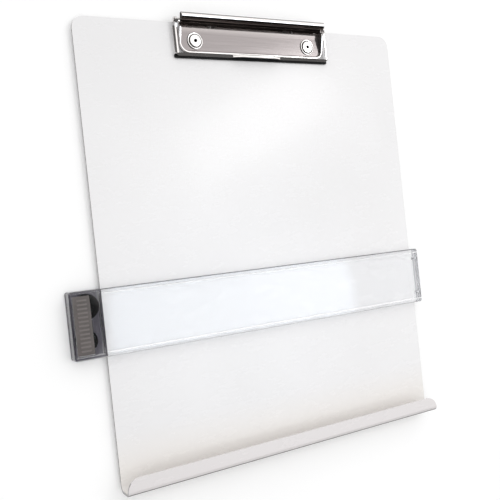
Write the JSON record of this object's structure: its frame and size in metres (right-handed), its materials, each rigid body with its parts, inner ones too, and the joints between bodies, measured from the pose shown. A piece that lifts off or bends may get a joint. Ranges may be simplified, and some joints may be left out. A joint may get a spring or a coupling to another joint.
{
  "type": "portable drawing board",
  "caption": "Portable drawing board: white sheet with a folded ledge, chrome spring clip and a clear guide bar that slides up and down it.",
  "frame": {"origin": "centre of the whole object's box, on the surface that it lies on", "axes": "+X across the board towards its right edge, +Y up the board from the ledge to the clip, +Z out of the drawing face"},
  "size_m": [0.3348, 0.3632, 0.0198],
  "materials": {
    "white_sheet": "smooth white plastic sheet, glossy, slightly warm",
    "clear_plastic": "clear moulded acrylic, polished",
    "smoky_plastic": "grey-brown frosted plastic with fine grip ridges",
    "grey_plastic": "grey-lilac moulded plastic, fine texture",
    "felt": "dark grey felt",
    "black_rubber": "black rubber, matt",
    "chrome": "bright nickel-chrome plating on steel",
    "satin_steel": "satin nickel-plated steel",
    "spring_steel": "bright spring wire",
    "rivet_nickel": "bright nickel-plated eyelet rivet",
    "zinc_screw": "zinc-plated screw"
  },
  "bodies": {
    "board": {"board_sheet": "white_sheet", "clip_base_plate": "satin_steel", "clip_pivot_pin": "chrome", "clip_spring_left": "spring_steel", "clip_spring_right": "spring_steel", "rivet_left": "rivet_nickel", "rivet_right": "rivet_nickel", "rivet_washer_left": "satin_steel", "rivet_washer_right": "satin_steel"},
    "lever": {"clip_lever": "chrome", "jaw_rubber": "black_rubber"},
    "slider": {"guide_bar": "clear_plastic", "grip_panel": "smoky_plastic", "head_rear_plate": "grey_plastic", "tail_rear_plate": "grey_plastic", "head_friction_pad": "felt", "tail_friction_pad": "felt", "head_spacer_upper": "black_rubber", "head_spacer_lower": "black_rubber", "head_screw_upper": "zinc_screw", "head_screw_lower": "zinc_screw", "tail_screw_upper": "zinc_screw", "tail_screw_lower": "zinc_screw"}
  },
  "joints": [
    {"name": "guide_slide", "type": "slide", "parent": "board", "child": "slider", "axis": [0, 1, 0], "range_m": [-0.097, 0.172]},
    {"name": "clip_hinge", "type": "hinge", "parent": "board", "child": "lever", "pos_m": [0.0132, 0.17685, 0.008], "axis": [-1, 0, 0], "range_deg": [0, 25], "stiffness_Nm_per_rad": 0.5, "springref_deg": -34.38, "deforming": ["clip_spring_left", "clip_spring_right"]}
  ]
}
